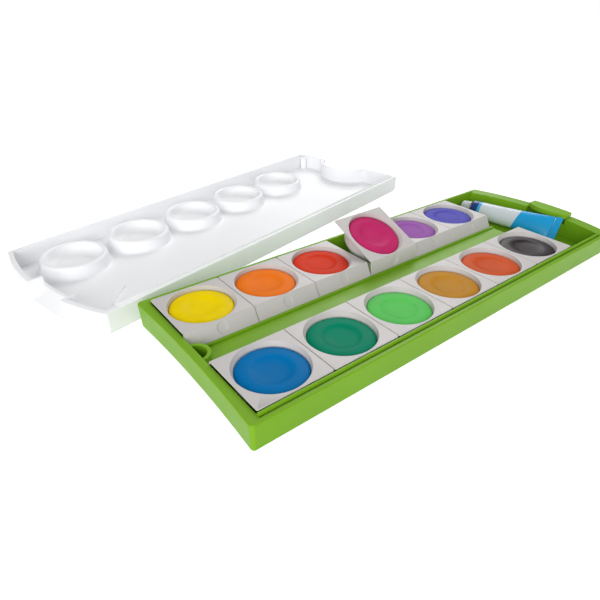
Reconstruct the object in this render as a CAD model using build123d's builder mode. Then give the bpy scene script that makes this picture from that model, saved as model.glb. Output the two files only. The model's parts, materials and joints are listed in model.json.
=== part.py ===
"""Gouache paint set box: a tray of twelve tip-out colour pans, a tube of opaque white and a palette lid.

Millimetres, +Z up. The origin is the centre of the tray's underside, +X runs along the tray towards the
end with the tube and the clasp, and +Y runs to the back. The lid lies beside the tray, inside up.
"""

import os
from math import asin, cos, degrees, pi, radians, sin, sqrt

from build123d import *

# Paint cakes and the pans that hold them.
cake_radius = 15.1
cake_recess = 1.9
cake_gap = 0.1
cake_edge = 0.5
dimple_radius = 7.4
dimple_depth = 0.5
bowl_wall = 0.9
well_flare = 1.0
well_shift = 0.6
pan_side_margin = 1.65
pan_outer_margin = 0.2
pan_land = 0.4
pan_height = 13.0
pan_plate = 1.2
pan_edge = 0.3
bowl_foot_radius = 10.6
bowl_curve_height = 6.6
bowl_floor = 1.1
slope_run = 3.9
slope_drop = 6.5
lip_depth = 1.4
press_mark_radius = 2.0
press_mark_depth = 0.3
tilt_rest = 23.4
hinge_inset = 0.3

back_colours = ("yellow", "orange", "red", "magenta", "violet", "blue_violet")
front_colours = ("blue", "turquoise", "light_green", "ochre", "sienna", "black")
raised_colour = "magenta"

# Clearances between pieces that move apart.
pan_gap = 0.3
seat_gap = 0.3
wall_gap = 0.3

# Tray.
floor_thickness = 1.6
rim_height = 13.4
rim_edge = 0.6
rib_width = 1.0
rib_rise = 1.2
rib_edge = 0.3
groove_width = 0.8
groove_depth = 1.2
ledge_width = 2.1
left_rim = 5.1
right_rim = 8.5
end_bulge = 9.0
end_hollow = 1.6
rail_width = 14.2
rail_height = 7.4
rail_rib = 1.2
rail_rib_rise = 1.0
rail_skin = 1.5
rail_web = 8.0
divider_width = 1.4
divider_height = 4.2
pocket_rib = 1.2
socket_radius = 6.4
socket_wall = 1.6
socket_drop = 1.2
compartment_length = 29.7
corner_radius = 2.0
inner_corner = 1.2
base_radius = 1.2
wall_draft = 2.0
end_wall = 1.6

# Clasp: a springy tongue in the bulged end.
clasp_width = 27.0
clasp_offset = -7.5
clasp_gap = 0.6
clasp_stem = 2.2
clasp_reach = 11.0
clasp_end_reach = 6.5
clasp_plate = 3.0
clasp_rise = 2.6
clasp_inner_wall = 9.6
clasp_set_back = 0.4
clasp_foot_gap = 0.4
clasp_edge = 0.5

# Tube of opaque white.
tube_radius = 5.8
tube_skin = 0.35
tube_length = 53.4
tube_fullness = 0.6
tube_section_places = (0, 0.3, 0.65, 1)
crimp_thickness = 1.5
crimp_fold = 4.0
crimp_turn = 52.0
shoulder_height = 1.8
neck_radius = 2.8
neck_length = 5.0
nozzle_bore = 1.4
thread_depth = 0.45
thread_pitch = 1.2
thread_turns = 3
cap_wall = 1.05
cap_draw_in = 0.35
cap_length = 6.4
cap_top = 1.1
cap_gap = 0.08
cap_rest = 0.3
cap_edge = 0.8
cap_flutes = 20
cap_flute_start = 1.2
cap_flute_depth = 0.3
tube_lean = 9.8
tube_from_divider = 16.56
tube_from_back = 3.2

# Lid, which doubles as the mixing palette.
lid_height = 12.0
lid_plate = 1.6
lid_gap = 0.15
lid_lip_rise = 0.9
lid_edge = 2.0
lid_rim_edge = 0.5
well_count = 5
well_pitch = 43.6
well_base_radius = 20.8
well_foot = 2.0
well_rim_radius = 16.75
well_rim_width = 3.2
well_rim_height = 5.7
well_floor_radius = 9.5
well_floor_rise = 0.5
well_from_end = 25.5
well_from_back = 24.0
notch_width = 40.0
notch_depth = 15.0
notch_offset = 3.0
boss_radius = 2.6
boss_bore = 1.3
boss_inset = 6.2
boss_depth = 8.0
boss_set_down = 1.4
boss_web = 1.0
catch_depth = 6.0
catch_skin = 1.8
catch_cheek = 1.6
catch_side_gap = 1.0
catch_gap = 0.4
dam_height = 1.5
dam_width = 1.0
dam_start = (-115.0, -38.0)
dam_middle = (-108.5, -27.0)
dam_end = (-98.0, -19.0)
lid_turn = 12.5
lid_shift = -37.0
lid_clearance = 4.0

# Sizes that follow from the ones above.
bowl_radius = cake_radius + cake_gap
opening_radius = bowl_radius + well_flare
pan_half_width = opening_radius + pan_side_margin
pan_pitch = 2 * pan_half_width + pan_gap
pan_count = len(back_colours)
pan_outer = bowl_radius + bowl_wall + pan_outer_margin
pan_corner = inner_corner - wall_gap
slope_top = opening_radius + well_shift + pan_land
slope_foot = slope_top + slope_run
pan_top = floor_thickness + seat_gap + pan_height
pan_under = floor_thickness + seat_gap
paint_level = pan_top - cake_recess
slope_foot_level = pan_top - slope_drop

row_centre = rail_width / 2 + wall_gap + slope_foot
tub_half_width = row_centre + pan_outer + wall_gap
groove_inner = tub_half_width + rib_width
groove_outer = groove_inner + groove_width
half_width = groove_outer + ledge_width

pans_length = pan_count * pan_pitch - pan_gap
corner_length = (
    left_rim + 2 * wall_gap + pans_length + divider_width + compartment_length + right_rim
)
tray_length = corner_length + end_bulge
left_end = -tray_length / 2
right_corner = left_end + corner_length
tub_left = left_end + left_rim
first_pan = tub_left + wall_gap + pan_half_width
divider_left = tub_left + 2 * wall_gap + pans_length
compartment_left = divider_left + divider_width

hinge_reach = slope_foot - hinge_inset
hinge_level = slope_foot_level - hinge_inset
bulge_radius = (half_width**2 + end_bulge**2) / (2 * end_bulge)
bulge_centre = right_corner + end_bulge - bulge_radius


def end_arc_x(radius, y):
    """Place along X of an arc round the centre of the bulged end."""
    return bulge_centre + sqrt(radius**2 - y**2)


def export(piece, name):
    """Label a finished piece and write it under its own name."""
    piece.label = name
    export_step(piece, f"parts/{name}.step")


os.makedirs("parts", exist_ok=True)

# ---------------------------------------------------------------- tray
tub_arc_radius = bulge_radius - right_rim
tub_right = end_arc_x(tub_arc_radius, 0)
tub_corner = end_arc_x(tub_arc_radius, tub_half_width)
slot_low = clasp_offset - clasp_width / 2 - clasp_gap
slot_high = clasp_offset + clasp_width / 2 + clasp_gap
slot_centre = (slot_low + slot_high) / 2
slot_left = end_arc_x(tub_arc_radius + end_wall, slot_low)

with BuildPart() as tray:
    # Outer block, drawn in a little towards the bottom as moulded boxes are.
    with BuildSketch(Plane.XY.offset(rim_height)) as outline:
        with BuildLine():
            Line((left_end, -half_width), (right_corner, -half_width))
            ThreePointArc(
                (right_corner, -half_width), (right_corner + end_bulge, 0), (right_corner, half_width)
            )
            Line((right_corner, half_width), (left_end, half_width))
            ThreePointArc((left_end, half_width), (left_end + end_hollow, 0), (left_end, -half_width))
        make_face()
        fillet(outline.vertices(), corner_radius)
    extrude(amount=-rim_height, taper=wall_draft)
    fillet(tray.edges().group_by(Axis.Z)[0], base_radius)
    fillet(tray.edges().group_by(Axis.Z)[-1], rim_edge)

    # Inside: one open tub for both rows of pans and the tube compartment.
    with BuildSketch(Plane.XY.offset(floor_thickness)) as tub:
        with BuildLine():
            Line((tub_left, -tub_half_width), (tub_corner, -tub_half_width))
            ThreePointArc(
                (tub_corner, -tub_half_width), (tub_right, 0), (tub_corner, tub_half_width)
            )
            Line((tub_corner, tub_half_width), (tub_left, tub_half_width))
            Line((tub_left, tub_half_width), (tub_left, -tub_half_width))
        make_face()
        fillet(tub.vertices(), inner_corner)
    extrude(amount=rim_height, mode=Mode.SUBTRACT)

    # A thin locating rib with a groove outside it runs along the front and the back.
    rib_length = tub_corner - tub_left
    rib_middle = (tub_corner + tub_left) / 2
    for side in (-1, 1):
        with BuildSketch(Plane.XY.offset(rim_height - groove_depth)):
            with Locations((rib_middle, side * (groove_inner + groove_outer) / 2)):
                Rectangle(rib_length, groove_width)
        extrude(amount=groove_depth, mode=Mode.SUBTRACT)
        with BuildSketch(Plane.XY.offset(rim_height)):
            with Locations((rib_middle, side * (tub_half_width + groove_inner) / 2)):
                Rectangle(rib_length, rib_width)
        extrude(amount=rib_rise)
    fillet(tray.edges().group_by(Axis.Z)[-1], rib_edge)

    # Centre rail between the rows, with a fine rib along each edge.
    rail_length = divider_left + divider_width - tub_left
    rail_middle = tub_left + rail_length / 2
    with BuildSketch(Plane.XY.offset(floor_thickness)):
        with Locations((rail_middle, 0)):
            Rectangle(rail_length, rail_width)
    extrude(amount=rail_height - floor_thickness)
    with BuildSketch(Plane.XY.offset(rail_height)):
        for side in (-1, 1):
            with Locations((rail_middle, side * (rail_width - rail_rib) / 2)):
                Rectangle(rail_length, rail_rib)
    extrude(amount=rail_rib_rise)

    # The rail is hollow from below, in two pockets with a web between them under the middle.
    rail_pockets = (
        (tub_left + socket_radius + rail_skin, -rail_web / 2),
        (rail_web / 2, divider_left + divider_width - rail_skin),
    )
    for start, end in rail_pockets:
        with BuildSketch():
            with Locations(((start + end) / 2, 0)):
                RectangleRounded(end - start, rail_width - 2 * rail_skin, rail_skin)
        extrude(amount=rail_height - rail_skin, mode=Mode.SUBTRACT)

    # Low walls keep the pans apart and close the tube compartment off.
    low_wall_length = tub_half_width - rail_width / 2
    with BuildSketch(Plane.XY.offset(floor_thickness)):
        for side in (-1, 1):
            wall_middle = side * (tub_half_width + rail_width / 2) / 2
            with Locations((divider_left + divider_width / 2, wall_middle)):
                Rectangle(divider_width, low_wall_length)
            for index in range(1, pan_count):
                rib_place = first_pan + (index - 0.5) * pan_pitch
                with Locations((rib_place, wall_middle)):
                    Rectangle(pocket_rib, low_wall_length)
    extrude(amount=divider_height - floor_thickness)

    # Half-round socket against the left rim, at the end of the rail.
    socket_steps = (
        (socket_radius, rim_height - socket_drop - floor_thickness, Mode.ADD),
        (socket_radius - socket_wall, rim_height, Mode.SUBTRACT),
    )
    for radius, height, mode in socket_steps:
        with BuildSketch(Plane.XY.offset(floor_thickness)):
            with Locations((tub_left, 0)):
                Circle(radius)
            split(bisect_by=Plane.YZ.offset(tub_left))
        extrude(amount=height, mode=mode)

    # Slot for the clasp through the bulged end; a lower wall still closes the compartment.
    with BuildSketch(Plane.XY.offset(floor_thickness)):
        with Locations((slot_left, slot_centre)):
            Rectangle(3 * right_rim, slot_high - slot_low, align=(Align.MIN, Align.CENTER))
    extrude(amount=rim_height, mode=Mode.SUBTRACT)
    with BuildSketch(Plane.XY.offset(clasp_inner_wall)):
        with Locations((slot_left, slot_centre)):
            Rectangle(2 * right_rim, slot_high - slot_low, align=(Align.MAX, Align.CENTER))
    extrude(amount=rim_height, mode=Mode.SUBTRACT)

export(tray.part, "tray")

# ---------------------------------------------------------------- clasp
clasp_outer_radius = bulge_radius - clasp_set_back
clasp_low = clasp_offset - clasp_width / 2
clasp_high = clasp_offset + clasp_width / 2
clasp_foot = floor_thickness + clasp_foot_gap
plate_under = rim_height + clasp_rise - clasp_plate
stem_radius = clasp_outer_radius - clasp_stem
clasp_stations = (clasp_low, clasp_offset, clasp_high)


def clasp_point(radius, y):
    """Point at a given Y on an arc of the bulged end."""
    return (end_arc_x(radius, y), y)


with BuildPart() as clasp:
    with BuildSketch(Plane.XY.offset(clasp_foot)):
        with BuildLine():
            ThreePointArc(*(clasp_point(clasp_outer_radius, y) for y in clasp_stations))
            Line(clasp_point(clasp_outer_radius, clasp_high), clasp_point(stem_radius, clasp_high))
            ThreePointArc(*(clasp_point(stem_radius, y) for y in reversed(clasp_stations)))
            Line(clasp_point(stem_radius, clasp_low), clasp_point(clasp_outer_radius, clasp_low))
        make_face()
    extrude(amount=plate_under - clasp_foot)

    # Thumb plate: its inner edge swells out over the tube compartment.
    with BuildSketch(Plane.XY.offset(plate_under)):
        plate_low = (end_arc_x(clasp_outer_radius, clasp_low) - clasp_end_reach, clasp_low)
        plate_mid = (end_arc_x(clasp_outer_radius, clasp_offset) - clasp_reach, clasp_offset)
        plate_high = (end_arc_x(clasp_outer_radius, clasp_high) - clasp_end_reach, clasp_high)
        with BuildLine():
            ThreePointArc(*(clasp_point(clasp_outer_radius, y) for y in clasp_stations))
            Line(clasp_point(clasp_outer_radius, clasp_high), plate_high)
            ThreePointArc(plate_high, plate_mid, plate_low)
            Line(plate_low, clasp_point(clasp_outer_radius, clasp_low))
        make_face()
    extrude(amount=clasp_plate)
    fillet(clasp.edges().group_by(Axis.Z)[-1], clasp_edge)

export(clasp.part, "clasp")

# ---------------------------------------------------------------- pans and paint cakes
# One pan in its own frame: origin under the middle of the paint, +X to the right and +Y to the
# outer side of the row, so that the sloped front faces the centre rail at -Y.
bowl_curve_level = pan_under + bowl_curve_height
cavity_floor = pan_under + bowl_floor
cavity_foot_radius = bowl_foot_radius - bowl_wall
plate_under_level = pan_top - pan_plate


def bowl_outline(radius, foot_radius, foot_level, curve_level, top_level):
    """Half section of a round-bottomed bowl, on the axis from its floor up to top_level."""
    bend = radians(45)
    rise = curve_level - foot_level
    middle = (foot_radius + (radius - foot_radius) * sin(bend), foot_level + rise * (1 - cos(bend)))
    with BuildLine(mode=Mode.PRIVATE) as section:
        Line((0, foot_level), (foot_radius, foot_level))
        ThreePointArc((foot_radius, foot_level), middle, (radius, curve_level))
        Line((radius, curve_level), (radius, top_level))
        Line((radius, top_level), (0, top_level))
        Line((0, top_level), (0, foot_level))
    return section.line


with BuildPart() as pan:
    # Top plate.
    with BuildSketch(Plane.XY.offset(plate_under_level)) as plate:
        with Locations((0, (pan_outer - slope_top) / 2)):
            Rectangle(2 * pan_half_width, pan_outer + slope_top)
        fillet(plate.vertices().group_by(Axis.Y)[-1], pan_corner)
    extrude(amount=pan_plate)

    # Sloped front with a press mark, ending in the lip that tips on the rail.
    with BuildSketch(Plane.YZ.offset(-pan_half_width)):
        with BuildLine():
            Polyline(
                (-slope_top + pan_plate, pan_top),
                (-slope_top, pan_top),
                (-slope_foot, slope_foot_level),
                (-slope_foot, slope_foot_level - lip_depth),
                (-slope_foot + pan_plate, slope_foot_level - lip_depth),
                (-slope_top + pan_plate, pan_top - pan_plate),
                close=True,
            )
        make_face()
    extrude(amount=2 * pan_half_width)
    fillet(pan.edges().group_by(Axis.Z)[-1], pan_edge)

    # Round bowl under the plate, then its inside up to the paint.
    bowl_steps = (
        (bowl_radius + bowl_wall, bowl_foot_radius, pan_under, plate_under_level, Mode.ADD),
        (bowl_radius, cavity_foot_radius, cavity_floor, paint_level, Mode.SUBTRACT),
    )
    for radius, foot_radius, foot_level, top_level, mode in bowl_steps:
        with BuildSketch(Plane.XZ):
            add(bowl_outline(radius, foot_radius, foot_level, bowl_curve_level, top_level))
            make_face()
        revolve(axis=Axis.Z, mode=mode)

    # Flared opening above the paint, set a little towards the slope.
    with BuildSketch(Plane.XY.offset(paint_level)):
        Circle(bowl_radius)
    with BuildSketch(Plane.XY.offset(pan_top)):
        with Locations((0, -well_shift)):
            Circle(opening_radius)
    loft(ruled=True, mode=Mode.SUBTRACT)

    # Small round press mark in the middle of the slope.
    slope_plane = Plane(
        origin=(0, -(slope_top + slope_foot) / 2, (pan_top + slope_foot_level) / 2),
        x_dir=(1, 0, 0),
        z_dir=(0, -slope_drop, slope_run),
    )
    with BuildSketch(slope_plane):
        Circle(press_mark_radius)
    extrude(amount=-press_mark_depth, mode=Mode.SUBTRACT)

with BuildPart() as cake:
    cake_foot_radius = cavity_foot_radius - cake_gap
    cake_under = cavity_floor + cake_gap
    with BuildSketch(Plane.XZ):
        add(bowl_outline(cake_radius, cake_foot_radius, cake_under, bowl_curve_level, paint_level))
        make_face()
    revolve(axis=Axis.Z)
    chamfer(cake.edges().group_by(Axis.Z)[-1], cake_edge)

    # Shallow round dimple pressed into the middle.
    dimple_sphere = (dimple_radius**2 + dimple_depth**2) / (2 * dimple_depth)
    with Locations((0, 0, paint_level - dimple_depth + dimple_sphere)):
        Sphere(dimple_sphere, mode=Mode.SUBTRACT)

hinge_line = Location((0, -hinge_reach, hinge_level))
for row_side, colours in ((1, back_colours), (-1, front_colours)):
    for index, colour in enumerate(colours):
        pan_x = first_pan + index * pan_pitch
        seat = Location((pan_x, row_side * row_centre, 0), (0, 0, 90 - 90 * row_side))
        if colour == raised_colour:
            seat = seat * hinge_line * Location((0, 0, 0), (tilt_rest, 0, 0)) * hinge_line.inverse()
        export(pan.part.moved(seat), f"pan_{colour}")
        export(cake.part.moved(seat), f"paint_{colour}")

# ---------------------------------------------------------------- tube of opaque white
# The tube's frame: origin at the flat crimped end, +Z along the tube towards the cap, and the crimp
# lies along X.
shoulder_level = crimp_fold + tube_length


def flattened(radius, half_thickness):
    """Half width of an oval with about the girth of a circle of that radius."""
    return sqrt(2 * radius**2 - half_thickness**2)


def tube_stations(radius, end_half_thickness):
    """Oval sections from the crimp to the round end: place along the tube, half width, half thickness."""
    stations = []
    for share in tube_section_places:
        swell = sin(share**tube_fullness * pi / 2)
        half_thickness = end_half_thickness + (radius - end_half_thickness) * swell
        half_width_here = flattened(radius, half_thickness)
        stations.append((crimp_fold + share * tube_length, half_width_here, half_thickness))
    return stations


with BuildPart() as sleeve:
    for level, half, thin in tube_stations(tube_radius, crimp_thickness / 2):
        with BuildSketch(Plane.XY.offset(level)):
            Ellipse(half, thin)
    loft()
    for level, half, thin in tube_stations(tube_radius - tube_skin, crimp_thickness / 2 - tube_skin):
        with BuildSketch(Plane.XY.offset(level)):
            Ellipse(half, thin)
    loft(mode=Mode.SUBTRACT)
    with BuildSketch():
        Rectangle(2 * flattened(tube_radius, crimp_thickness / 2), crimp_thickness)
    extrude(amount=crimp_fold)

with BuildPart() as filling:
    filling_inset = tube_skin + cake_gap
    filling_stations = tube_stations(tube_radius - filling_inset, crimp_thickness / 2 - filling_inset)
    for level, half, thin in filling_stations:
        with BuildSketch(Plane.XY.offset(level)):
            Ellipse(half, thin)
    loft()

neck_level = shoulder_level + shoulder_height
with BuildPart() as nozzle:
    # Sloped shoulder with a neck, its thread rings and the hole for the paint.
    with BuildSketch(Plane.XZ):
        with BuildLine():
            Polyline(
                (0, shoulder_level),
                (tube_radius, shoulder_level),
                (neck_radius, neck_level),
                (neck_radius, neck_level + neck_length),
                (0, neck_level + neck_length),
                close=True,
            )
        make_face()
        for ring in range(thread_turns):
            with Locations((neck_radius, neck_level + (ring + 1.5) * thread_pitch)):
                Rectangle(2 * thread_depth, thread_pitch / 3)
    revolve(axis=Axis.Z)
    with BuildSketch(Plane.XY.offset(shoulder_level)):
        Circle(nozzle_bore)
    extrude(amount=shoulder_height + neck_length, mode=Mode.SUBTRACT)

cap_start = neck_level + cap_rest
cap_end = cap_start + cap_length
cap_bore = neck_radius + thread_depth + cap_gap
cap_radius = cap_bore + cap_wall
cap_tip_radius = cap_radius - cap_draw_in
with BuildPart() as cap:
    with BuildSketch(Plane.XY.offset(cap_start)):
        Circle(cap_radius)
    with BuildSketch(Plane.XY.offset(cap_end)):
        Circle(cap_tip_radius)
    loft(ruled=True)
    fillet(cap.edges().group_by(Axis.Z)[-1], cap_edge)
    with BuildSketch(Plane.XY.offset(cap_start)):
        Circle(cap_bore)
    extrude(amount=cap_length - cap_top, mode=Mode.SUBTRACT)

    # Fine grip flutes round the side.
    with BuildSketch(Plane.XY.offset(cap_start + cap_flute_start)):
        with PolarLocations(cap_radius, cap_flutes):
            Circle(cap_flute_depth)
    extrude(amount=cap_length, mode=Mode.SUBTRACT)

# The tube lies on the compartment floor, its crimp standing on one edge.
crimp_half = flattened(tube_radius, crimp_thickness / 2)
crimp_angle = radians(crimp_turn)
crimp_level = pan_under + crimp_half * sin(crimp_angle) + crimp_thickness / 2 * cos(crimp_angle)
shoulder_rest = pan_under + tube_radius
tube_rise = asin((shoulder_rest - crimp_level) / shoulder_level)
cap_place = (compartment_left + tube_from_divider, tub_half_width - tube_from_back)
lean = radians(tube_lean)
tube_heading = (-sin(lean) * cos(tube_rise), cos(lean) * cos(tube_rise), sin(tube_rise))
crimp_place = (
    cap_place[0] - cap_end * tube_heading[0],
    cap_place[1] - cap_end * tube_heading[1],
    crimp_level,
)
tube_plane = Plane(origin=crimp_place, x_dir=(cos(lean), sin(lean), 0), z_dir=tube_heading)
tube_seat = tube_plane.location * Location((0, 0, 0), (0, 0, -crimp_turn))
tube_pieces = {"tube_sleeve": sleeve, "tube_paint": filling, "tube_nozzle": nozzle, "tube_cap": cap}
for name, piece in tube_pieces.items():
    export(piece.part.moved(tube_seat), name)

# ---------------------------------------------------------------- lid
# The lid's own frame: origin in the middle of its outer face, +Z to its open side, and the bulged end
# at -X, because the lid turns over end for end to close the tray.
lid_right = tray_length / 2
lid_left_corner = -lid_right + end_bulge
lid_wall = ledge_width + groove_width - lid_gap
lip_width = groove_width - 2 * lid_gap
notch_low = notch_offset - notch_width / 2
notch_high = notch_offset + notch_width / 2
catch_low = clasp_low - catch_side_gap
catch_high = clasp_high + catch_side_gap
catch_level = lid_height - clasp_rise - catch_gap
catch_reach = catch_depth + catch_skin
well_rim_level = lid_plate + well_rim_height
well_floor_level = lid_plate + well_floor_rise
well_mouth = well_rim_radius - well_rim_width / 2
well_wall_radius = well_base_radius - well_foot
well_foot_bend = well_foot * (1 - cos(radians(45)))

with BuildPart() as well:
    # A cup with a flared foot, thick round rim and bowl-shaped inside, standing on the plate.
    with BuildSketch(Plane.XZ):
        with BuildLine():
            Line((0, lid_plate), (well_base_radius, lid_plate))
            ThreePointArc(
                (well_base_radius, lid_plate),
                (well_wall_radius + well_foot_bend, lid_plate + well_foot_bend),
                (well_wall_radius, lid_plate + well_foot),
            )
            Line((well_wall_radius, lid_plate + well_foot), (well_mouth + well_rim_width, well_rim_level))
            ThreePointArc(
                (well_mouth + well_rim_width, well_rim_level),
                (well_rim_radius, well_rim_level + well_rim_width / 2),
                (well_mouth, well_rim_level),
            )
            bowl_bend = (
                well_floor_radius + (well_mouth - well_floor_radius) * sin(radians(50)),
                well_floor_level + (well_rim_level - well_floor_level) * (1 - cos(radians(50))),
            )
            ThreePointArc((well_mouth, well_rim_level), bowl_bend, (well_floor_radius, well_floor_level))
            Line((well_floor_radius, well_floor_level), (0, well_floor_level))
            Line((0, well_floor_level), (0, lid_plate))
        make_face()
    revolve(axis=Axis.Z)

with BuildPart() as lid:
    with BuildSketch() as lid_outline:
        with BuildLine():
            Line((lid_left_corner, -half_width), (lid_right, -half_width))
            Line((lid_right, -half_width), (lid_right, notch_low))
            notch_middle = (lid_right - notch_depth, notch_offset)
            ThreePointArc((lid_right, notch_low), notch_middle, (lid_right, notch_high))
            Line((lid_right, notch_high), (lid_right, half_width))
            Line((lid_right, half_width), (lid_left_corner, half_width))
            ThreePointArc((lid_left_corner, half_width), (-lid_right, 0), (lid_left_corner, -half_width))
        make_face()
        fillet(lid_outline.vertices(), corner_radius)
    extrude(amount=lid_height)
    fillet(lid.edges().group_by(Axis.Z)[0], lid_edge)
    fillet(lid.edges().group_by(Axis.Z)[-1], lid_rim_edge)

    # Hollow inside, down to the plate.
    with BuildSketch(Plane.XY.offset(lid_plate)):
        add(lid_outline.sketch)
        offset(amount=-lid_wall)
    extrude(amount=lid_height, mode=Mode.SUBTRACT)

    # Thin lip along the front and back walls, which drops into the grooves of the tray.
    with BuildSketch(Plane.XY.offset(lid_height)):
        for side in (-1, 1):
            with Locations((-rib_middle, side * (groove_inner + groove_outer) / 2)):
                Rectangle(rib_length - 2 * lid_gap, lip_width)
    extrude(amount=lid_lip_rise)

    # Row of mixing wells along the back.
    for index in range(well_count):
        well_x = lid_left_corner + well_from_end + index * well_pitch
        with Locations((well_x, half_width - well_from_back, 0)):
            add(well.part)

    # Hollow boss in the far corner, tied to the end wall by a web.
    boss_x = lid_right - boss_inset
    boss_y = half_width - boss_inset
    with BuildSketch(Plane.XY.offset(lid_plate)):
        with Locations((boss_x, boss_y)):
            Circle(boss_radius)
            Rectangle(boss_inset - lid_wall / 2, boss_web, align=(Align.MIN, Align.CENTER))
    extrude(amount=lid_height - lid_plate - boss_set_down)
    with BuildSketch(Plane.XY.offset(lid_height - boss_depth)):
        with Locations((boss_x, boss_y)):
            Circle(boss_bore)
    extrude(amount=boss_depth, mode=Mode.SUBTRACT)

    # Catch for the clasp: the end wall is left out there and a lower sloping wall stands further in,
    # between two cheeks.
    end_axis = Axis((-bulge_centre, 0, 0), (0, 0, 1))
    catch_gap_section = (
        (bulge_radius - lid_wall - lid_edge, lid_plate),
        (bulge_radius + lid_edge, lid_plate),
        (bulge_radius + lid_edge, 2 * lid_height),
        (bulge_radius - lid_wall - lid_edge, 2 * lid_height),
    )
    catch_wall_section = (
        (bulge_radius, lid_edge),
        (bulge_radius - catch_depth, catch_level),
        (bulge_radius - catch_reach, catch_level),
        (bulge_radius - catch_reach, lid_plate / 2),
        (bulge_radius - lid_edge, lid_plate / 2),
    )
    cheek_section = (
        (bulge_radius, lid_edge),
        (bulge_radius, lid_height),
        (bulge_radius - catch_reach, lid_height),
        (bulge_radius - catch_reach, lid_plate / 2),
        (bulge_radius - lid_edge, lid_plate / 2),
    )
    catch_parts = (
        (catch_low, catch_high, catch_gap_section, Mode.SUBTRACT),
        (catch_low, catch_high, catch_wall_section, Mode.ADD),
        (catch_low - catch_cheek, catch_low, cheek_section, Mode.ADD),
        (catch_high, catch_high + catch_cheek, cheek_section, Mode.ADD),
    )
    for low, high, section, mode in catch_parts:
        start = asin(high / bulge_radius)
        sweep = degrees(start - asin(low / bulge_radius))
        radial = Plane(
            origin=(-bulge_centre, 0, 0),
            x_dir=(-cos(start), sin(start), 0),
            z_dir=(sin(start), cos(start), 0),
        )
        with BuildSketch(radial):
            Polygon(*section, align=None)
        revolve(axis=end_axis, revolution_arc=sweep, mode=mode)

    # Short curved dam at the edge of the mixing field.
    with BuildSketch(Plane.XY.offset(lid_plate)):
        with BuildLine():
            ThreePointArc(dam_start, dam_middle, dam_end)
            offset(amount=dam_width / 2, side=Side.BOTH)
        make_face()
    extrude(amount=dam_height)

# The lid lies behind the tray, turned a little, its front wall clear of the tray's back left corner.
lid_angle = radians(lid_turn)
corner_reach = half_width * cos(lid_angle) - left_end * sin(lid_angle)
lid_back = (corner_reach + half_width + lid_clearance + lid_shift * sin(lid_angle)) / cos(lid_angle)
lid_seat = Location((lid_shift, lid_back, 0), (0, 0, lid_turn))
export(lid.part.moved(lid_seat), "lid")
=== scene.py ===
"""Looks of the gouache paint set box, laid out as a Blender add-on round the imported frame.

Objects are in metres, in the frame's own axes: +X towards the tube's end, +Y to the back, +Z up.
Sizes of the pieces that are modelled here are written in millimetres, and their settings in metres.
"""

import json
from math import atan2, pi, radians, sin, sqrt

import bmesh
import bpy
from mathutils import Matrix, Vector


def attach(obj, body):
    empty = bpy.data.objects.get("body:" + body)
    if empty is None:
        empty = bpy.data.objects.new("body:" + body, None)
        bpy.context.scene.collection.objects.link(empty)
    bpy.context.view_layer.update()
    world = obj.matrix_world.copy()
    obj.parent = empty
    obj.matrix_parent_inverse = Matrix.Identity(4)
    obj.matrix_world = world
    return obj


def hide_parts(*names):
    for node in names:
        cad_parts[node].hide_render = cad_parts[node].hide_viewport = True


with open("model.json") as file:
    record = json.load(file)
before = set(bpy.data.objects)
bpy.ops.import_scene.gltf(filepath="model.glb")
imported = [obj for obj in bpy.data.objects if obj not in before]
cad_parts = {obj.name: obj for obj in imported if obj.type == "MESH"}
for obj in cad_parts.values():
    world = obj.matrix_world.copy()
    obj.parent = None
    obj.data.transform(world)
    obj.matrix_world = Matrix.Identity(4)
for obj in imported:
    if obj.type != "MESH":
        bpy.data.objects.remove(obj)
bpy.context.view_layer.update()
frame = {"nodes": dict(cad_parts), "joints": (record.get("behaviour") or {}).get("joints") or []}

bl_info = {
    "name": "Gouache paint set box",
    "version": (1, 0, 0),
    "blender": (4, 5, 0),
    "location": "View3D > Sidebar > Paint box",
    "description": "Builds the finished surfaces of a school paint box round its fixed frame",
    "category": "Object",
}

JOINTS = {joint["name"]: joint for joint in frame["joints"]}
MM = 0.001
# How near, in millimetres, two places count as one.
NEAR = 0.001

BACK_ROW = ("yellow", "orange", "red", "magenta", "violet", "blue_violet")
FRONT_ROW = ("blue", "turquoise", "light_green", "ochre", "sienna", "black")

# A pan in its own frame, in millimetres: the origin lies under the middle of its paint, and its
# sloped front faces -Y. It tips about a line at the foot of the slope.
PAN_TOP = 14.9
PAN_HALF_WIDTH = 17.85
PAN_BACK = 16.22
SLOPE_TOP = 17.2
SLOPE_RUN = 3.9
SLOPE_DROP = 6.5
SLOPE_LIP = 1.4
HINGE_REACH = 20.8
HINGE_LEVEL = 8.1
# The band of faces along the plate's edges that their rounding is cut from.
PLATE_BAND = 0.18
# Each tablet is turned on by this angle from the one before, so that no two look alike.
TABLET_TURN = 1.17
PAINT_SHEEN = 0.03
BLACK_SHEEN = 0.2

# The tube in its own frame, in millimetres: its folded end at the origin, its cap up +Z.
TUBE_RADIUS = 5.8
TUBE_FOLD = 4.0
TUBE_LENGTH = 53.4
TUBE_END_THICKNESS = 0.75
TUBE_FULLNESS = 0.6
FOLD_HALF_THICKNESS = 0.62
FOLD_RIB_SWELL = 1.22
FOLD_STEPS = 14
SHOULDER = TUBE_FOLD + TUBE_LENGTH
SHOULDER_HEIGHT = 1.8
NECK_START = SHOULDER + SHOULDER_HEIGHT
NECK_RADIUS = 2.8
NECK_LENGTH = 4.95
NECK_BORE = 1.4
THREADS = 3
THREAD_PITCH = 1.2
THREAD_DEPTH = 0.42
CAP_START = NECK_START + 0.3
CAP_LENGTH = 6.4
CAP_FLUTES = 20
CORNERS_PER_FLUTE = 6
CRIMP_TURN = 52.0

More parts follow.
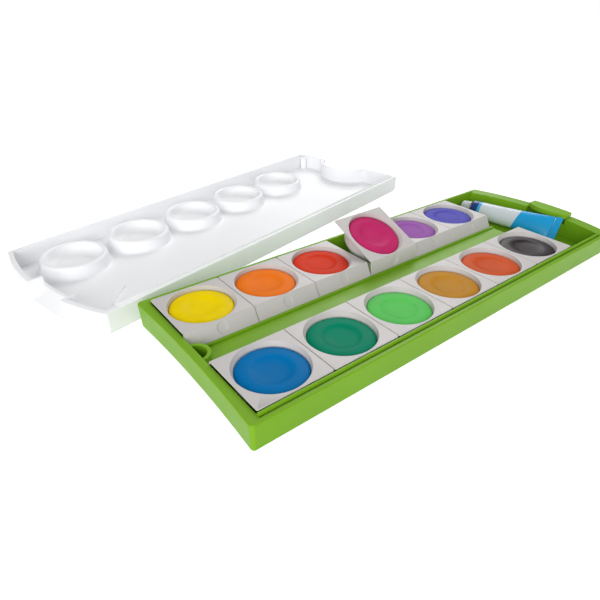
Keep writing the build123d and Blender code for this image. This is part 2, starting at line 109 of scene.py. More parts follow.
# The tube's place in the box, in millimetres. The cap's joint lies on the tube's axis, half way
# up the cap.
TUBE_HEADING = Vector(JOINTS["tube_cap_turn"]["axis"]).normalized()
CAP_MIDDLE = Vector(JOINTS["tube_cap_turn"]["pos_m"]) / MM
CRIMP_PLACE = CAP_MIDDLE - (CAP_START + CAP_LENGTH / 2) * TUBE_HEADING


def linear(red, green, blue):
    """A colour written as 0 to 255 steps of a screen, as the shaders want it."""

    def channel(step):
        share = step / 255
        return share / 12.92 if share <= 0.04045 else ((share + 0.055) / 1.055) ** 2.4

    return tuple(channel(step) for step in (red, green, blue))


# ---------------------------------------------------------------- shader maths
class Socket:
    """One output of a node tree, which Python's operators can work on."""

    def __init__(self, tree, link):
        self.tree = tree
        self.link = link

    def maths(self, operation, other):
        """A Math node that works on this output and another one or a number."""
        return node(self.tree, "ShaderNodeMath", {"operation": operation}, {0: self, 1: other})

    def __add__(self, other):
        return self.maths("ADD", other)

    __radd__ = __add__

    def __mul__(self, other):
        return self.maths("MULTIPLY", other)

    __rmul__ = __mul__

    def __sub__(self, other):
        return self.maths("SUBTRACT", other)

    def __rsub__(self, other):
        return self * -1.0 + other

    def step(self, low, high):
        """0 below low, 1 above high and a smooth rise between them."""
        values = {"Value": self, "From Min": low, "From Max": high}
        settings = {"interpolation_type": "SMOOTHSTEP", "clamp": True}
        return node(self.tree, "ShaderNodeMapRange", settings, values)


def node(tree, kind, settings=None, values=None, output=0):
    """Adds a node, sets it up, feeds its sockets with links or values and returns one output."""
    made = tree.nodes.new(kind)
    for name, setting in (settings or {}).items():
        setattr(made, name, setting)
    for name, value in (values or {}).items():
        socket = made.inputs[name]
        if isinstance(value, Socket):
            tree.links.new(value.link, socket)
        elif socket.type == "RGBA":
            socket.default_value = (*value, 1)
        else:
            socket.default_value = value
    return Socket(tree, made.outputs[output])


def seen_by(tree, *rays):
    """1 for these kinds of rays, which show the background as it is, and 0 for all others."""
    seen, *others = (node(tree, "ShaderNodeLightPath", output=ray) for ray in rays)
    for other in others:
        seen = seen.maths("MAXIMUM", other)
    return seen


class Finish:
    """A material under construction: its tree, its shader and the place on the object."""

    def __init__(self, name, **constants):
        self.material = bpy.data.materials.new(name)
        self.material.use_nodes = True
        self.tree = self.material.node_tree
        self.shader = self.tree.nodes["Principled BSDF"]
        for socket, value in constants.items():
            self.shader.inputs[socket.replace("_", " ")].default_value = value
        self.place = node(self.tree, "ShaderNodeTexCoord", output="Object")

    def grain(self, scale, detail=3.0, roughness=0.55):
        """Soft noise, 0 to 1, with so many cells to the metre."""
        values = {"Vector": self.place, "Scale": scale, "Detail": detail, "Roughness": roughness}
        return node(self.tree, "ShaderNodeTexNoise", {}, values)

    def along(self, origin, direction):
        """How far, in millimetres, a place lies from an origin along a direction."""
        values = {0: self.place, 1: origin * MM}
        shifted = node(self.tree, "ShaderNodeVectorMath", {"operation": "SUBTRACT"}, values)
        values = {0: shifted, 1: direction / MM}
        return node(self.tree, "ShaderNodeVectorMath", {"operation": "DOT_PRODUCT"}, values, output="Value")

    def mix(self, share, first, second):
        """Blends two colours, through the node's colour sockets."""
        values = {0: share, 6: first, 7: second}
        return node(self.tree, "ShaderNodeMix", {"data_type": "RGBA"}, values, output=2)

    def set(self, **sockets):
        """Links what changes over the surface to the shader."""
        for name, value in sockets.items():
            self.tree.links.new(value.link, self.shader.inputs[name.replace("_", " ")])

    def bump(self, height, strength, relief):
        """Fine relief, so many millimetres deep."""
        values = {"Height": height, "Strength": strength, "Distance": relief * MM}
        self.set(Normal=node(self.tree, "ShaderNodeBump", {}, values))


def shade(colour, factor):
    """The same colour, lighter or darker."""
    return tuple(min(1.0, channel * factor) for channel in colour)


def moulded_plastic(name, colour, roughness, texture, cloud=0.03, **constants):
    """Injection-moulded plastic: faint flow clouds, a fine spark-eroded texture and handling haze."""
    finish = Finish(name, **constants)
    flow = finish.grain(24, detail=2)
    fine = finish.grain(2600, detail=2)
    haze = finish.grain(90, detail=4)
    clouds = flow.step(0.35, 0.65) * 0.8 + fine * 0.2
    finish.set(Base_Color=finish.mix(clouds, shade(colour, 1 - cloud), shade(colour, 1 + cloud)))
    finish.set(Roughness=haze.step(0.3, 0.7) * 0.08 + (roughness - 0.04))
    finish.bump(fine, texture, 0.03)
    return finish.material


def pressed_paint(name, colour, sheen):
    """Pressed gouache: matt with a waxy sheen, cloudy pigment and a slightly uneven surface."""
    finish = Finish(name, Specular_IOR_Level=sheen)
    cloud = finish.grain(120, detail=3, roughness=0.5)
    speck = finish.grain(3400, detail=1)
    uneven = finish.grain(330, detail=3)
    tone = cloud.step(0.3, 0.7) * 0.8 + speck.step(0.35, 0.75) * 0.2
    finish.set(Base_Color=finish.mix(tone, shade(colour, 0.94), shade(colour, 1.05)))
    finish.set(Roughness=cloud.step(0.3, 0.7) * 0.1 + 0.38)
    finish.bump(uneven * 0.8 + speck * 0.2, 0.25, 0.12)
    return finish.material


def printed_tube(name, tube):
    """Lacquered soft metal: printed bands round it, faint dents and a light satin gloss."""
    finish = Finish(name, Specular_IOR_Level=0.3)
    place = finish.along(CRIMP_PLACE, TUBE_HEADING)
    slanted = finish.along(CRIMP_PLACE, TUBE_HEADING + Vector((0, 0, tube.slant)))
    blur = 0.12
    ink = finish.mix(slanted.step(tube.blue_end - blur, tube.blue_end + blur), tube.blue, tube.white)
    ink = finish.mix(place.step(tube.light_start - blur, tube.light_start + blur), ink, tube.light_blue)
    ink = finish.mix(place.step(tube.dark_start - blur, tube.dark_start + blur), ink, tube.dark_blue)
    handling = finish.grain(150, detail=4)
    speck = finish.grain(2200, detail=2)
    worn = finish.mix(speck.step(0.3, 0.7) * 0.02, ink, (0.9, 0.92, 0.94))
    finish.set(Base_Color=worn)
    finish.set(Roughness=handling.step(0.3, 0.7) * 0.12 + 0.26)
    finish.bump(finish.grain(110, detail=1) * 0.97 + speck * 0.03, 0.25, 0.3)
    return finish.material


# ---------------------------------------------------------------- modelling helpers
def deselect():
    """Leaves nothing selected, for the operators that act on all that is."""
    bpy.ops.object.select_all(action="DESELECT")


def take(piece):
    """Makes one object the only selected and active one."""
    deselect()
    piece.select_set(True)
    bpy.context.view_layer.objects.active = piece
    return piece


class EditMode:
    """Edit mode on one object, for a with block."""

    def __init__(self, piece):
        self.piece = take(piece)

    def __enter__(self):
        bpy.ops.object.mode_set(mode="EDIT")
        return self

    def __exit__(self, *failure):
        bpy.ops.object.mode_set(mode="OBJECT")

    def pick(self, kind, wanted):
        """Selects the vertices, edges or faces for which wanted says yes."""
        bpy.ops.mesh.select_mode(type=kind)
        bpy.ops.mesh.select_all(action="DESELECT")
        shape = bmesh.from_edit_mesh(self.piece.data)
        elements = {"VERT": shape.verts, "EDGE": shape.edges, "FACE": shape.faces}[kind]
        for element in elements:
            if wanted(element):
                element.select_set(True)
        shape.select_flush_mode()
        bmesh.update_edit_mesh(self.piece.data)


def modify(piece, kind, **settings):
    """Adds a modifier to a piece and applies it."""
    take(piece)
    modifier = piece.modifiers.new(kind.lower(), kind)
    for name, value in settings.items():
        setattr(modifier, name, value)
    bpy.ops.object.modifier_apply(modifier=modifier.name)


def round_edges(piece, width, sharper_than):
    """Rounds every edge that folds by more than so many degrees."""
    modify(
        piece, "BEVEL", width=width, segments=3, limit_method="ANGLE",
        angle_limit=radians(sharper_than), use_clamp_overlap=False,
    )


def join(piece, *others):
    """Joins other objects into a piece."""
    take(piece)
    for other in others:
        other.select_set(True)
    bpy.ops.object.join()
    return piece


def smooth(piece, angle):
    """Smooth shading with creases kept, and flat faces kept flat beside their rounded edges."""
    take(piece)
    bpy.ops.object.shade_smooth_by_angle(angle=radians(angle))
    modify(piece, "WEIGHTED_NORMAL", keep_sharp=True, weight=80)


def point_outwards(piece):
    """Turns all faces of a closed piece outwards."""
    with EditMode(piece):
        bpy.ops.mesh.select_all(action="SELECT")
        bpy.ops.mesh.normals_make_consistent(inside=False)


def drawn_through(rings, sides=64, close_start=True):
    """A skin drawn up through rings, each a level, a half width, a half depth and a shift in Y."""
    level, width, depth, shift = rings[0]
    deselect()
    bpy.ops.mesh.primitive_circle_add(
        vertices=sides, radius=width * MM, location=(0, shift * MM, level * MM)
    )
    piece = bpy.context.object
    bpy.ops.object.transform_apply(location=True, rotation=False, scale=False)
    with EditMode(piece):
        bpy.ops.mesh.select_mode(type="VERT")
        bpy.ops.mesh.select_all(action="SELECT")
        bpy.ops.transform.resize(
            value=(1, depth / width, 1), center_override=(0, shift * MM, level * MM)
        )
        for next_level, next_width, next_depth, next_shift in rings[1:]:
            move = (0, (next_shift - shift) * MM, (next_level - level) * MM)
            bpy.ops.mesh.extrude_region_move(TRANSFORM_OT_translate={"value": move})
            bpy.ops.transform.resize(
                value=(next_width / width, next_depth / depth, 1),
                center_override=(0, next_shift * MM, next_level * MM),
            )
            level, width, depth, shift = next_level, next_width, next_depth, next_shift
        bpy.ops.mesh.edge_face_add()
    if close_start:
        with EditMode(piece) as edit:
            edit.pick("EDGE", lambda edge: len(edge.link_faces) == 1)
            bpy.ops.mesh.edge_face_add()
        point_outwards(piece)
    return piece


def turned(outline, sides=64, close_start=True):
    """A round piece from the radius and level of each ring."""
    return drawn_through([(level, radius, radius, 0) for radius, level in outline], sides, close_start)


def copy_of(piece, matrix):
    """A copy with a mesh of its own, put in its place."""
    twin = piece.copy()
    twin.data = piece.data.copy()
    bpy.context.collection.objects.link(twin)
    twin.data.transform(matrix)
    return twin


def finish_piece(piece, name, body, material):
    """Names a finished piece, gives it its finish and lets it ride on its body in the node's place."""
    piece.name = name + "_finished"
    piece.data.name = piece.name
    piece.data.materials.clear()
    piece.data.materials.append(material)
    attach(piece, body)
    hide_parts(name)


def dress(node_name, material):
    """Gives a frame node that stays as it is its finish."""
    shown = frame["nodes"][node_name]
    for holder in shown.material_slots:
        holder.material = material


def pan_seat(name):
    """Where a pan lies, from its own frame to the box: beside its hinge line and tipped as at rest."""
    joint = JOINTS[name + "_pan_tip"]
    facing = Matrix.Rotation(0 if joint["axis"][0] > 0 else pi, 4, "Z")
    tipped = Matrix.Rotation(radians(-joint["range_deg"][0]), 4, "X")
    hinge = Matrix.Translation(Vector((0, HINGE_REACH, -HINGE_LEVEL)) * MM)
    return Matrix.Translation(joint["pos_m"]) @ facing @ tipped @ hinge


def tube_seat():
    """Where the tube lies, from its own frame to the box: along its heading, rolled on its side."""
    across = TUBE_HEADING.cross(Vector((0, 0, 1))).normalized()
    axes = Matrix((across, TUBE_HEADING.cross(across), TUBE_HEADING)).transposed().to_4x4()
    rolled = Matrix.Rotation(-radians(CRIMP_TURN), 4, "Z")
    return Matrix.Translation(CRIMP_PLACE * MM) @ axes @ rolled


# ---------------------------------------------------------------- settings
def number_setting(name, description, default):
    """A setting that is a plain number."""
    return bpy.props.FloatProperty(name=name, description=description, default=default)


def length_setting(name, description, default):
    """A setting that is a length in metres."""
    return bpy.props.FloatProperty(
        name=name, description=description, default=default, unit="LENGTH", precision=5
    )


def colour_setting(name, description, *default):
    """A setting that is a colour, given in steps of 0 to 255."""
    return bpy.props.FloatVectorProperty(
        name=name, description=description, default=linear(*default), subtype="COLOR", size=3, min=0, max=1
    )


class PlasticSettings(bpy.types.PropertyGroup):
    """Colours of the moulded parts."""

    green: colour_setting("Tray green", "Colour of the tray", 124, 175, 32)
    clasp_green: colour_setting("Clasp green", "Colour of the clasp", 130, 182, 36)
    grey: colour_setting("Pan grey", "Colour of the pans", 204, 200, 198)
    white: colour_setting("Lid white", "Colour of the lid", 252, 253, 255)


class PaintSettings(bpy.types.PropertyGroup):
    """Colours of the pressed paints."""

    yellow: colour_setting("Yellow", "Colour of the yellow tablet", 246, 216, 0)
    orange: colour_setting("Orange", "Colour of the orange tablet", 248, 125, 28)
    red: colour_setting("Red", "Colour of the red tablet", 223, 58, 28)
    magenta: colour_setting("Magenta", "Colour of the magenta tablet", 202, 49, 109)
    violet: colour_setting("Violet", "Colour of the violet tablet", 159, 91, 177)
    blue_violet: colour_setting("Blue violet", "Colour of the blue violet tablet", 90, 86, 188)
    blue: colour_setting("Blue", "Colour of the blue tablet", 0, 116, 182)
    turquoise: colour_setting("Turquoise", "Colour of the turquoise tablet", 0, 136, 103)
    light_green: colour_setting("Light green", "Colour of the light green tablet", 96, 204, 96)
    ochre: colour_setting("Ochre", "Colour of the ochre tablet", 199, 140, 44)
    sienna: colour_setting("Sienna", "Colour of the sienna tablet", 215, 90, 44)
    black: colour_setting("Black", "Colour of the black tablet", 38, 28, 34)


class PanSettings(bpy.types.PropertyGroup):
    """Sizes of the pans' details."""

    wall: length_setting("Wall", "Thickness of the moulding", 0.75 * MM)
    edge: length_setting("Edge", "Rounding of the edges", 0.3 * MM)
    corner: length_setting("Corner", "Rounding of the two outer corners", 0.9 * MM)
    mark_radius: length_setting("Press mark", "Radius of the round mark on the slope", 2.6 * MM)
    mark_depth: length_setting("Press mark depth", "Depth of the round mark on the slope", 0.5 * MM)
    mark_edge: length_setting("Press mark edge", "Rounding of the mark's rim", 0.12 * MM)


class TubeSettings(bpy.types.PropertyGroup):
    """Colours of the tube, and where its bands start, in millimetres from the folded end."""

    blue: colour_setting("Blue", "Colour of the lower band", 0, 160, 222)
    white: colour_setting("White", "Colour of the middle", 214, 222, 228)
    light_blue: colour_setting("Light blue", "Colour of the thin band", 60, 172, 222)
    dark_blue: colour_setting("Dark blue", "Colour of the band beside the cap", 8, 58, 122)
    cap: colour_setting("Cap", "Colour of the screw cap", 196, 200, 202)
    blue_end: number_setting("Blue ends", "Place where the lower band ends", 26.8)
    slant: number_setting("Slant", "Slope of the lower band's edge", 0.3)
    light_start: number_setting("Light blue starts", "Place where the thin band starts", 51.2)
    dark_start: number_setting("Dark blue starts", "Place where the dark band starts", 53.2)


class StageSettings(bpy.types.PropertyGroup):
    """Where the picture is taken from, and its light."""

    focal_pixels: number_setting("Focal length", "Focal length as picture elements of the frame", 492.9)
    frame_pixels: number_setting("Frame", "Width and height of the picture in picture elements", 600)
    eye: bpy.props.FloatVectorProperty(
        name="Eye", description="Place of the camera", default=(-0.19449, -0.15053, 0.13771), unit="LENGTH"
    )
    turn: bpy.props.FloatProperty(
        name="Turn", description="Turn from +Y to +X", default=radians(38.198), subtype="ANGLE"
    )
    dip: bpy.props.FloatProperty(
        name="Dip", description="Look downwards", default=radians(32.197), subtype="ANGLE"
    )
    roll: bpy.props.FloatProperty(
        name="Roll", description="Roll about the line of sight", default=radians(0.629), subtype="ANGLE"
    )
    floor_size: length_setting("Floor", "Side of the floor", 8.0)
    sky: number_setting("Sky", "Strength of the light from all round", 0.36)
    key: number_setting("Key", "Power of the lamp behind on the right, in watts", 8.0)
    fill: number_setting("Fill", "Power of the lamp in front on the left, in watts", 14.0)


class PaintBoxSettings(bpy.types.PropertyGroup):
    """All settings of the paint box."""

    plastic: bpy.props.PointerProperty(type=PlasticSettings)
    paint: bpy.props.PointerProperty(type=PaintSettings)
    pan: bpy.props.PointerProperty(type=PanSettings)
    tube: bpy.props.PointerProperty(type=TubeSettings)
    stage: bpy.props.PointerProperty(type=StageSettings)


# ---------------------------------------------------------------- operators
class PAINTBOX_OT_tray(bpy.types.Operator):
    """Give the tray and its clasp their green moulded finish"""

    bl_idname = "paintbox.tray"
    bl_label = "Tray and clasp"

    def execute(self, context):
        plastic = context.scene.paint_box.plastic
        for node_name, green in (("tray", plastic.green), ("clasp", plastic.clasp_green)):
            finish = moulded_plastic(node_name + "_green", green, 0.36, 0.15, Specular_IOR_Level=0.13)
            dress(node_name, finish)
        return {"FINISHED"}


class PAINTBOX_OT_lid(bpy.types.Operator):
    """Give the palette lid its white moulded finish"""

    bl_idname = "paintbox.lid"
    bl_label = "Palette lid"

    def execute(self, context):
        plastic = context.scene.paint_box.plastic
        white = moulded_plastic("lid_white", plastic.white, 0.4, 0.05, cloud=0.004, Specular_IOR_Level=0.25)
        dress("lid", white)
        return {"FINISHED"}


class PAINTBOX_OT_pans(bpy.types.Operator):
    """Model one pan with its bowl, soft rim, slope and press mark, and put one in each place"""

    bl_idname = "paintbox.pans"
    bl_label = "Pans"

    def execute(self, context):
        settings = context.scene.paint_box
        pan = self.skin(settings.pan)
        modify(pan, "SOLIDIFY", thickness=settings.pan.wall, offset=-1, use_even_offset=True)
        round_edges(pan, settings.pan.edge, sharper_than=60)
        self.press_mark(pan, settings.pan)
        round_edges(pan, settings.pan.mark_edge, sharper_than=60)
        point_outwards(pan)
        smooth(pan, 35)
        grey = settings.plastic.grey
        finish = moulded_plastic("pan_grey", grey, 0.42, 0.3, cloud=0.015, Specular_IOR_Level=0.3)
        for name in BACK_ROW + FRONT_ROW:
            placed = copy_of(pan, pan_seat(name))
            finish_piece(placed, "pan_" + name, "pan_" + name, finish)
        bpy.data.objects.remove(pan)
        return {"FINISHED"}

    def skin(self, settings):
        """The pan's upper side: square plate, round bowl, sloped front and lip."""
        bowl = (
            (PAN_TOP, 16.22, 16.22, -0.6),
            (14.84, 16.08, 16.08, -0.6),
            (14.7, 15.98, 15.98, -0.6),
            (14.4, 15.88, 15.88, -0.52),
            (13.75, 15.6, 15.6, -0.28),
            (13.25, 15.33, 15.33, -0.1),
            (12.9, 15.2, 15.2, 0),
            (8.5, 15.2, 15.2, 0),
            (6.5, 14.7, 14.7, 0),
            (4.6, 13.2, 13.2, 0),
            (3.4, 11.4, 11.4, 0),
            (3.0, 9.4, 9.4, 0),
        )
        bowl = drawn_through(bowl, sides=96, close_start=False)
        depth = (PAN_BACK + SLOPE_TOP) * MM
        deselect()
        bpy.ops.mesh.primitive_plane_add(
            size=2 * PAN_HALF_WIDTH * MM, location=(0, PAN_BACK * MM - depth / 2, PAN_TOP * MM)
        )
        plate = bpy.context.object
        plate.scale.y = depth / (2 * PAN_HALF_WIDTH * MM)
        bpy.ops.object.transform_apply(location=True, rotation=False, scale=True)
        with EditMode(plate) as edit:
            edit.pick("VERT", lambda vertex: vertex.co.y > 0)
            bpy.ops.mesh.bevel(offset=settings.corner, segments=5, affect="VERTICES")
            bpy.ops.mesh.select_all(action="SELECT")
            bpy.ops.mesh.delete(type="ONLY_FACE")
        pan = join(plate, bowl)
        front = (NEAR - SLOPE_TOP) * MM
        with EditMode(pan) as edit:
            edit.pick("EDGE", lambda edge: len(edge.link_faces) < 2)
            bpy.ops.mesh.fill(use_beauty=True)
            edit.pick("EDGE", lambda edge: all(end.co.y < front for end in edge.verts))
            slope = (0, -SLOPE_RUN * MM, -SLOPE_DROP * MM)
            bpy.ops.mesh.extrude_region_move(TRANSFORM_OT_translate={"value": slope})
            bpy.ops.mesh.extrude_region_move(TRANSFORM_OT_translate={"value": (0, 0, -SLOPE_LIP * MM)})
            bpy.ops.mesh.select_all(action="SELECT")
            bpy.ops.mesh.normals_make_consistent(inside=False)
        plate_face = max(pan.data.polygons, key=lambda face: face.center.z)
        if plate_face.normal.z < 0:
            pan.data.flip_normals()
        with EditMode(pan) as edit:
            edit.pick("FACE", lambda face: face.calc_center_median().z > (PAN_TOP - NEAR) * MM)
            bpy.ops.mesh.inset(thickness=PLATE_BAND * MM, use_even_offset=True)
        return pan

    def press_mark(self, pan, settings):
        """Sinks a shallow round mark with a soft edge into the middle of the slope."""
        middle = Vector((0, -SLOPE_TOP - SLOPE_RUN / 2, PAN_TOP - SLOPE_DROP / 2)) * MM
        outwards = Vector((0, -SLOPE_DROP, SLOPE_RUN)).normalized()
        cutter_height = 2 * MM
        soft_foot = 0.3 * MM
        deselect()
        bpy.ops.mesh.primitive_cylinder_add(
            vertices=40, radius=settings.mark_radius, depth=cutter_height
        )
        cutter = bpy.context.object
        with EditMode(cutter) as edit:
            edit.pick("FACE", lambda face: face.normal.z < -0.9)
            bpy.ops.mesh.bevel(offset=soft_foot, segments=3, affect="EDGES")
        shift = outwards * (cutter_height / 2 - settings.mark_depth)
        turn = outwards.to_track_quat("Z", "Y").to_matrix().to_4x4()
        cutter.data.transform(Matrix.Translation(middle + shift) @ turn)
        modify(pan, "BOOLEAN", operation="DIFFERENCE", object=cutter, solver="EXACT")
        bpy.data.objects.remove(cutter)


class PAINTBOX_OT_paints(bpy.types.Operator):
    """Model one pressed tablet with its domed edge and dimple, and put one in each pan"""

    bl_idname = "paintbox.paints"
    bl_label = "Paint tablets"

    def execute(self, context):
        colours = context.scene.paint_box.paint
        tablet = self.tablet()
        for index, name in enumerate(BACK_ROW + FRONT_ROW):
            sheen = BLACK_SHEEN if name == "black" else PAINT_SHEEN
            paint = pressed_paint("paint_" + name, getattr(colours, name), sheen)
            turn = Matrix.Rotation(TABLET_TURN * index, 4, "Z")
            placed = copy_of(tablet, pan_seat(name) @ turn)
            finish_piece(placed, "paint_" + name, "pan_" + name, paint)
        bpy.data.objects.remove(tablet)
        return {"FINISHED"}

    def tablet(self):
        """A pressed tablet: round foot in the bowl, domed edge and shallow dimple."""
        outline = (
            (2.0, 3.1), (9.6, 3.12), (11.6, 3.5), (13.45, 4.75), (14.68, 6.55), (15.06, 8.5), (15.08, 11.0),
            (15.08, 12.2), (14.88, 12.62), (14.35, 12.95), (13.2, 13.24), (11.6, 13.42), (10.0, 13.46),
            (9.1, 13.4), (8.35, 13.2), (7.6, 12.9), (6.7, 12.66), (5.3, 12.5), (3.3, 12.42), (1.2, 12.4),
        )
        tablet = turned(outline, sides=64)
        modify(tablet, "SUBSURF", levels=1, render_levels=1)
        lumps = bpy.data.textures.new("tablet_lumps", "CLOUDS")
        lumps.noise_scale = 7 * MM
        modify(tablet, "DISPLACE", texture=lumps, strength=0.12 * MM, texture_coords="LOCAL")
        take(tablet)
        bpy.ops.object.shade_smooth()
        return tablet


class PAINTBOX_OT_tube(bpy.types.Operator):
    """Model the soft tube: its folded end, printed body, shoulder and threaded neck"""

    bl_idname = "paintbox.tube"
    bl_label = "Tube"

    def execute(self, context):
        settings = context.scene.paint_box.tube
        printed = printed_tube("tube_print", settings)
        sleeve = join(self.body(), self.fold())
        sleeve.data.transform(tube_seat())
        finish_piece(sleeve, "tube_sleeve", "tube", printed)
        nozzle = self.nozzle()
        nozzle.data.transform(tube_seat())
        finish_piece(nozzle, "tube_nozzle", "tube", self.nozzle_finish(settings))
        dress("tube_paint", pressed_paint("tube_paint_white", linear(240, 240, 236), PAINT_SHEEN))
        return {"FINISHED"}

    def body(self):
        """Oval sections from the flat fold to the round shoulder, whose edge is rolled in."""
        rings = []
        for share in (0, 0.02, 0.05, 0.09, 0.14, 0.2, 0.28, 0.37, 0.47, 0.58, 0.7, 0.82, 0.92, 1):
            swell = sin(share**TUBE_FULLNESS * pi / 2)
            thin = TUBE_END_THICKNESS + (TUBE_RADIUS - TUBE_END_THICKNESS) * swell
            rings.append((TUBE_FOLD + share * TUBE_LENGTH, sqrt(2 * TUBE_RADIUS**2 - thin**2), thin, 0))
        rolled_edge = ((0.3, 5.72), (0.52, 5.5), (0.62, 5.2), (0.55, 4.95))
        rings += [(SHOULDER + rise, radius, radius, 0) for rise, radius in rolled_edge]
        body = drawn_through(rings, sides=72)
        modify(body, "SUBSURF", levels=1, render_levels=1)
        dents = bpy.data.textures.new("tube_dents", "CLOUDS")
        dents.noise_scale = 20 * MM
        modify(body, "DISPLACE", texture=dents, strength=0.3 * MM, texture_coords="LOCAL")
        take(body)
        bpy.ops.object.shade_smooth()
        return body

    def fold(self):
        """The flat end, folded over and pressed with fine ribs."""
        half_width = sqrt(2 * TUBE_RADIUS**2 - TUBE_END_THICKNESS**2)
        deselect()
        bpy.ops.mesh.primitive_cube_add(size=2 * MM, location=(0, 0, TUBE_FOLD / 2 * MM))
        fold = bpy.context.object
        fold.scale = (half_width, FOLD_HALF_THICKNESS, TUBE_FOLD / 2)
        bpy.ops.object.transform_apply(location=True, rotation=False, scale=True)
        for step in range(1, FOLD_STEPS):
            with EditMode(fold):
                bpy.ops.mesh.select_all(action="SELECT")
                cut = (0, 0, TUBE_FOLD * MM * step / FOLD_STEPS)
                bpy.ops.mesh.bisect(plane_co=cut, plane_no=(0, 0, 1))

        def on_rib(vertex):
            step = round(vertex.co.z / MM * FOLD_STEPS / TUBE_FOLD)
            return 0 < step < FOLD_STEPS and step % 2 == 0

        with EditMode(fold) as edit:
            edit.pick("VERT", on_rib)
            bpy.ops.transform.resize(value=(1, FOLD_RIB_SWELL, 1), center_override=(0, 0, 0))
        round_edges(fold, 0.12 * MM, sharper_than=50)
        smooth(fold, 60)
        return fold

    def nozzle(self):
        """Shoulder, bored neck and rounded thread rings, turned from one outline."""
        end = NECK_START + NECK_LENGTH
        crest = NECK_RADIUS + THREAD_DEPTH
        outline = [(NECK_BORE, end - 0.55), (NECK_BORE, SHOULDER), (5.0, SHOULDER), (5.2, SHOULDER + 0.2)]
        outline += [(NECK_RADIUS + 0.3, NECK_START - 0.15), (NECK_RADIUS, NECK_START + 0.1)]
        for thread in range(THREADS):
            root = NECK_START + (thread + 1.2) * THREAD_PITCH
            outline += [(NECK_RADIUS, root), (crest, root + 0.22)]
            outline += [(crest, root + 0.42), (NECK_RADIUS, root + 0.64)]
        outline += [(NECK_RADIUS, end - 0.2), (NECK_RADIUS - 0.2, end), (NECK_BORE + 0.2, end)]
        nozzle = turned(outline, sides=48, close_start=False)
        point_outwards(nozzle)
        smooth(nozzle, 35)
        return nozzle

    def nozzle_finish(self, settings):
        """White plastic neck, its shoulder lacquered in the colour of the band beside it."""
        finish = Finish("tube_nozzle", Specular_IOR_Level=0.4)
        place = finish.along(CRIMP_PLACE, TUBE_HEADING)
        blur = 0.1
        lacquered = 1 - place.step(NECK_START - blur, NECK_START + blur)
        grain = finish.grain(900, detail=3)
        white = finish.mix(grain, linear(228, 228, 224), linear(238, 238, 236))
        finish.set(Base_Color=finish.mix(lacquered, white, settings.dark_blue))
        finish.set(Roughness=grain * 0.1 + 0.3)
        return finish.material


class PAINTBOX_OT_cap(bpy.types.Operator):
    """Model the fluted screw cap of the tube"""

    bl_idname = "paintbox.cap"
    bl_label = "Screw cap"

    def execute(self, context):
        outline = (
            (3.34, 5.3), (3.34, 0.15), (3.45, 0), (4.2, 0), (4.34, 0.12), (4.38, 0.3), (4.35, 1.05),
            (4.3, 1.2), (4.28, 1.3), (4.26, 1.6), (4.1, 5.4), (4.05, 5.75), (3.9, 6.08), (3.6, 6.3),
            (3.2, CAP_LENGTH), (2.6, 6.39), (2.3, 6.26), (0.6, 6.2),
        )
        sides = CAP_FLUTES * CORNERS_PER_FLUTE
        cap = turned([(radius, CAP_START + level) for radius, level in outline], sides)

        def in_flute(*corners):
            """Says which vertices lie at these corners of a flute, on the cap's outer wall."""

            def wanted(vertex):
                corner = round(atan2(vertex.co.x, vertex.co.y) / (2 * pi) * sides) % CORNERS_PER_FLUTE
                radius = vertex.co.xy.length / MM
                level = vertex.co.z / MM - CAP_START
                return corner in corners and 1.25 < level < 5.9 and radius > 4.0

            return wanted

        sink = (0.965, 0.965, 1)
        with EditMode(cap) as edit:
            for corners in ((0, 1, CORNERS_PER_FLUTE - 1), (0,)):
                edit.pick("VERT", in_flute(*corners))
                bpy.ops.transform.resize(value=sink, center_override=(0, 0, 0))
        smooth(cap, 50)
        cap.data.transform(tube_seat())
        grey = context.scene.paint_box.tube.cap
        plastic = moulded_plastic("cap_grey", grey, 0.35, 0.25, cloud=0.02)
        finish_piece(cap, "tube_cap", "tube_cap", plastic)
        return {"FINISHED"}


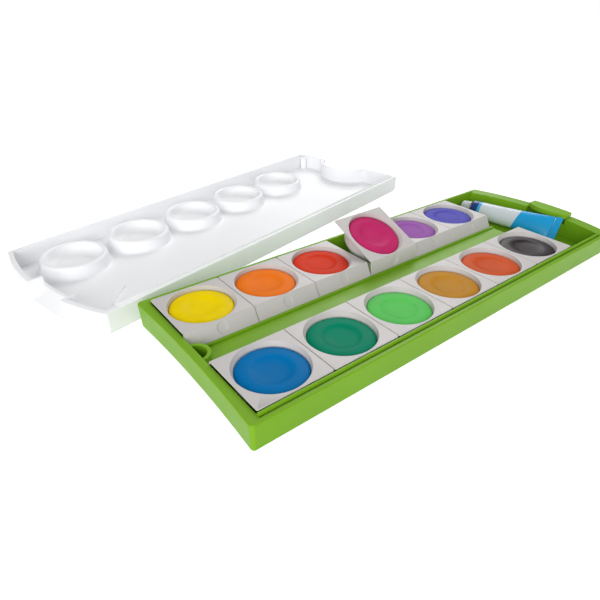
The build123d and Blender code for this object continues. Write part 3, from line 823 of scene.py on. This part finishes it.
class PAINTBOX_OT_stage(bpy.types.Operator):
    """Set up the floor, the light and the camera"""

    bl_idname = "paintbox.stage"
    bl_label = "Stage"

    def execute(self, context):
        settings = context.scene.paint_box.stage
        scene = context.scene
        self.floor(settings)
        self.world(scene, settings)
        self.lamps(scene, settings)
        self.camera(scene, settings)
        scene.view_settings.view_transform = "Standard"
        return {"FINISHED"}

    def camera(self, scene, settings):
        """A camera where the picture is taken from."""
        camera = bpy.data.objects.new("camera", bpy.data.cameras.new("camera"))
        scene.collection.objects.link(camera)
        camera.data.sensor_width = 36
        camera.data.lens = camera.data.sensor_width * settings.focal_pixels / settings.frame_pixels
        camera.data.clip_start = 0.01
        turn = Matrix.Rotation(-settings.turn, 4, "Z")
        dip = Matrix.Rotation(pi / 2 - settings.dip, 4, "X")
        roll = Matrix.Rotation(settings.roll, 4, "Z")
        camera.matrix_world = Matrix.Translation(settings.eye) @ turn @ dip @ roll
        scene.camera = camera

    def floor(self, settings):
        """White paper that keeps a faint shadow."""
        deselect()
        bpy.ops.mesh.primitive_plane_add(size=settings.floor_size)
        floor = bpy.context.object
        floor.name = "floor"
        finish = Finish("floor", Roughness=0.9, Specular_IOR_Level=0.1, Emission_Strength=1.0)
        seen = seen_by(finish.tree, "Is Camera Ray", "Is Glossy Ray", "Is Transmission Ray")
        paper, shadow_keeper = (0.86, 0.87, 0.88), (0.55, 0.55, 0.55)
        dark, glow = (0, 0, 0), (0.82, 0.82, 0.82)
        finish.set(Base_Color=finish.mix(seen, paper, shadow_keeper))
        finish.set(Emission_Color=finish.mix(seen, dark, glow))
        floor.data.materials.append(finish.material)

    def world(self, scene, settings):
        """Even white light from all round, seen as plain white."""
        world = bpy.data.worlds.new("studio")
        world.use_nodes = True
        scene.world = world
        tree = world.node_tree
        background = tree.nodes["Background"]
        background.inputs["Color"].default_value = (1, 1, 1, 1)
        seen = seen_by(tree, "Is Camera Ray", "Is Transmission Ray")
        strength = seen * (1 - settings.sky) + settings.sky
        tree.links.new(strength.link, background.inputs["Strength"])

    def lamps(self, scene, settings):
        """A soft key behind on the right and a larger soft fill in front on the left."""
        aim = Vector((0, 0.03, 0))
        for name, place, side, power in (
            ("key", Vector((0.75, 0.7, 0.75)), 0.7, settings.key),
            ("fill", Vector((-0.95, -0.85, 0.45)), 1.0, settings.fill),
        ):
            lamp = bpy.data.lights.new(name, "AREA")
            lamp.size = side
            lamp.energy = power
            holder = bpy.data.objects.new(name, lamp)
            scene.collection.objects.link(holder)
            holder.location = place
            holder.rotation_euler = (aim - place).to_track_quat("-Z", "Y").to_euler()


class PAINTBOX_PT_pieces(bpy.types.Panel):
    """Lists the steps that build the paint box"""

    bl_label = "Paint box"
    bl_idname = "PAINTBOX_PT_pieces"
    bl_space_type = "VIEW_3D"
    bl_region_type = "UI"
    bl_category = "Paint box"

    def draw(self, context):
        for operator in OPERATORS:
            self.layout.operator(operator.bl_idname)


OPERATORS = (
    PAINTBOX_OT_stage,
    PAINTBOX_OT_tray,
    PAINTBOX_OT_pans,
    PAINTBOX_OT_paints,
    PAINTBOX_OT_tube,
    PAINTBOX_OT_cap,
    PAINTBOX_OT_lid,
)
SETTINGS = (PlasticSettings, PaintSettings, PanSettings, TubeSettings, StageSettings, PaintBoxSettings)
CLASSES = (*SETTINGS, *OPERATORS, PAINTBOX_PT_pieces)


def register():
    for made in CLASSES:
        bpy.utils.register_class(made)
    bpy.types.Scene.paint_box = bpy.props.PointerProperty(type=PaintBoxSettings)


def unregister():
    del bpy.types.Scene.paint_box
    for made in reversed(CLASSES):
        bpy.utils.unregister_class(made)


def main():
    """Builds everything."""
    register()
    for operator in OPERATORS:
        group, name = operator.bl_idname.split(".")
        getattr(getattr(bpy.ops, group), name)()


if __name__ == "__main__":
    main()
